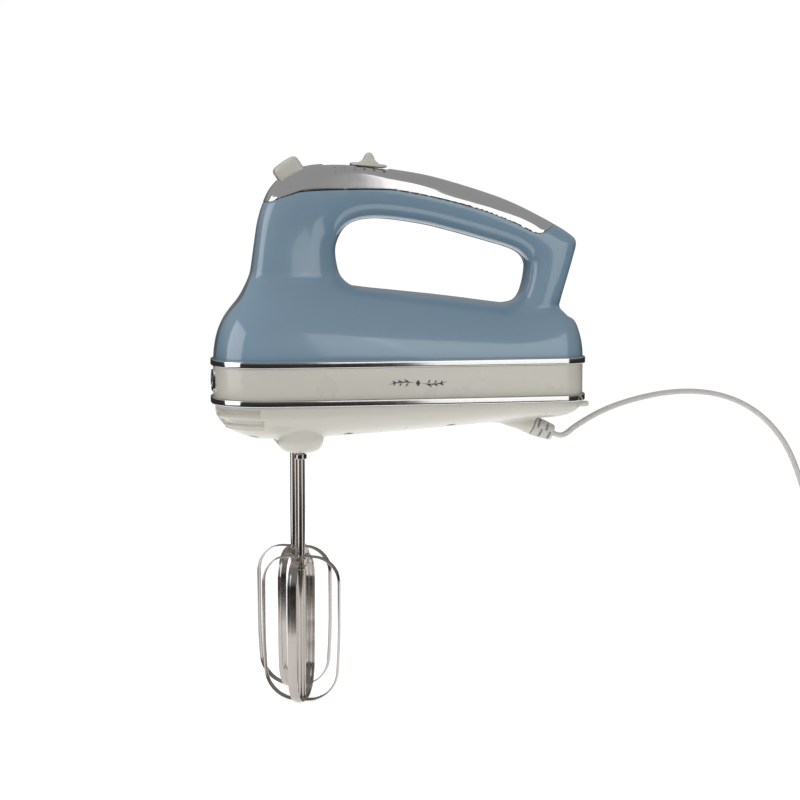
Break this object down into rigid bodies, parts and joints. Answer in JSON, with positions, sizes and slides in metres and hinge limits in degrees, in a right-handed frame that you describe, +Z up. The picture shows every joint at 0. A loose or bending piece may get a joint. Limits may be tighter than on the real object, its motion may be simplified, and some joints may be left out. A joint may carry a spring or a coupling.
{
  "type": "hand mixer",
  "caption": "Retro hand mixer: blue housing with loop handle, chrome cover and trims, cream band, slider, eject button, two four-strip beaters and a mains lead.",
  "frame": {"origin": "middle of the grip bar, in the parting plane", "axes": "+X from nose to tail, +Z up along the beater axes, +Y to the right-hand side seen from the tail"},
  "size_m": [0.4545, 0.0853, 0.3142],
  "materials": {
    "blue_gloss": "glossy moulded ABS, grey-blue",
    "cream_gloss": "glossy moulded ABS, cream",
    "chrome": "bright chrome plating on plastic",
    "steel": "polished stainless steel",
    "machined_steel": "turned steel",
    "copper": "enamelled copper wire",
    "brass": "sintered bronze and brass",
    "black_plastic": "black moulded nylon",
    "natural_plastic": "natural acetal",
    "carbon": "pressed carbon",
    "cord_pvc": "grey-cream PVC, slightly soft sheen"
  },
  "bodies": {
    "root": {"housing_left": "blue_gloss", "housing_right": "blue_gloss", "handle_cover": "chrome", "middle_band": "cream_gloss", "upper_trim": "chrome", "lower_trim": "chrome", "lower_housing": "cream_gloss", "badge": "chrome", "heel_feet": "cream_gloss", "housing_screws": "machined_steel", "base_screws": "machined_steel", "gearbox_frame": "black_plastic", "gearbox_cover": "black_plastic", "spindle_bushes": "brass", "motor_bearing_front": "brass", "motor_bearing_rear": "brass", "motor_bracket": "black_plastic", "stator_core": "machined_steel", "field_coils": "copper", "brush_holders": "brass", "carbon_brushes": "carbon", "brush_springs": "machined_steel", "switch_housing": "black_plastic", "switch_contacts": "brass", "terminal_block": "natural_plastic", "lead_wires": "black_plastic", "cord_clamp": "natural_plastic", "cord_boot": "cord_pvc", "cord": "cord_pvc", "cord_coil": "cord_pvc", "cord_tie": "black_plastic", "cord_tail": "cord_pvc", "plug_body": "cord_pvc", "plug_pins": "machined_steel", "eject_spring": "machined_steel"},
    "armature": {"motor_shaft": "machined_steel", "motor_worm": "machined_steel", "armature_core": "machined_steel", "armature_windings": "copper", "commutator": "copper", "cooling_fan": "natural_plastic"},
    "spindle_left": {"worm_gear_left": "natural_plastic", "drive_socket_left": "machined_steel", "socket_clip_left": "machined_steel"},
    "spindle_right": {"worm_gear_right": "natural_plastic", "drive_socket_right": "machined_steel", "socket_clip_right": "machined_steel"},
    "ejector_left": {"eject_pin_left": "natural_plastic"},
    "ejector_right": {"eject_pin_right": "natural_plastic"},
    "beater_left": {"beater_stem_left": "steel", "beater_cage_left": "steel", "beater_collar_left": "steel"},
    "beater_right": {"beater_stem_right": "steel", "beater_cage_right": "steel", "beater_collar_right": "steel"},
    "button": {"eject_button": "cream_gloss"},
    "yoke": {"ejector_yoke": "natural_plastic"},
    "slider": {"speed_knob": "cream_gloss", "switch_slide": "natural_plastic"}
  },
  "joints": [
    {"name": "armature_spin", "type": "hinge", "parent": "root", "child": "armature", "pos_m": [0, 0, -0.09], "axis": [1, 0, 0], "continuous": true},
    {"name": "spindle_left_spin", "type": "hinge", "parent": "root", "child": "spindle_left", "pos_m": [-0.0775, -0.019, -0.09], "axis": [0, 0, 1], "continuous": true},
    {"name": "spindle_right_spin", "type": "hinge", "parent": "root", "child": "spindle_right", "pos_m": [-0.0775, 0.019, -0.09], "axis": [0, 0, 1], "continuous": true},
    {"name": "button_press", "type": "slide", "parent": "root", "child": "button", "axis": [0.5592, 0, -0.829], "range_m": [0, 0.008], "stiffness_N_per_m": 500, "springref_m": -0.012},
    {"name": "yoke_slide", "type": "slide", "parent": "root", "child": "yoke", "axis": [0, 0, -1], "range_m": [0, 0.0067], "deforming": ["eject_spring"]},
    {"name": "eject_pin_left_slide", "type": "slide", "parent": "spindle_left", "child": "ejector_left", "axis": [0, 0, -1], "range_m": [0, 0.0067]},
    {"name": "eject_pin_right_slide", "type": "slide", "parent": "spindle_right", "child": "ejector_right", "axis": [0, 0, -1], "range_m": [0, 0.0067]},
    {"name": "beater_left_pull", "type": "slide", "parent": "ejector_left", "child": "beater_left", "axis": [0, 0, -1], "range_m": [0, 0.055]},
    {"name": "beater_right_pull", "type": "slide", "parent": "ejector_right", "child": "beater_right", "axis": [0, 0, -1], "range_m": [0, 0.055]},
    {"name": "speed_slide", "type": "slide", "parent": "root", "child": "slider", "axis": [-0.9971, 0, 0.0767], "range_m": [0, 0.016]}
  ],
  "couplings": [
    {"joint": "spindle_left_spin", "follows": "armature_spin", "ratio": -0.05},
    {"joint": "spindle_right_spin", "follows": "armature_spin", "ratio": 0.05},
    {"joint": "yoke_slide", "follows": "button_press", "ratio": 0.829},
    {"joint": "eject_pin_left_slide", "follows": "button_press", "ratio": 0.829},
    {"joint": "eject_pin_right_slide", "follows": "button_press", "ratio": 0.829}
  ]
}
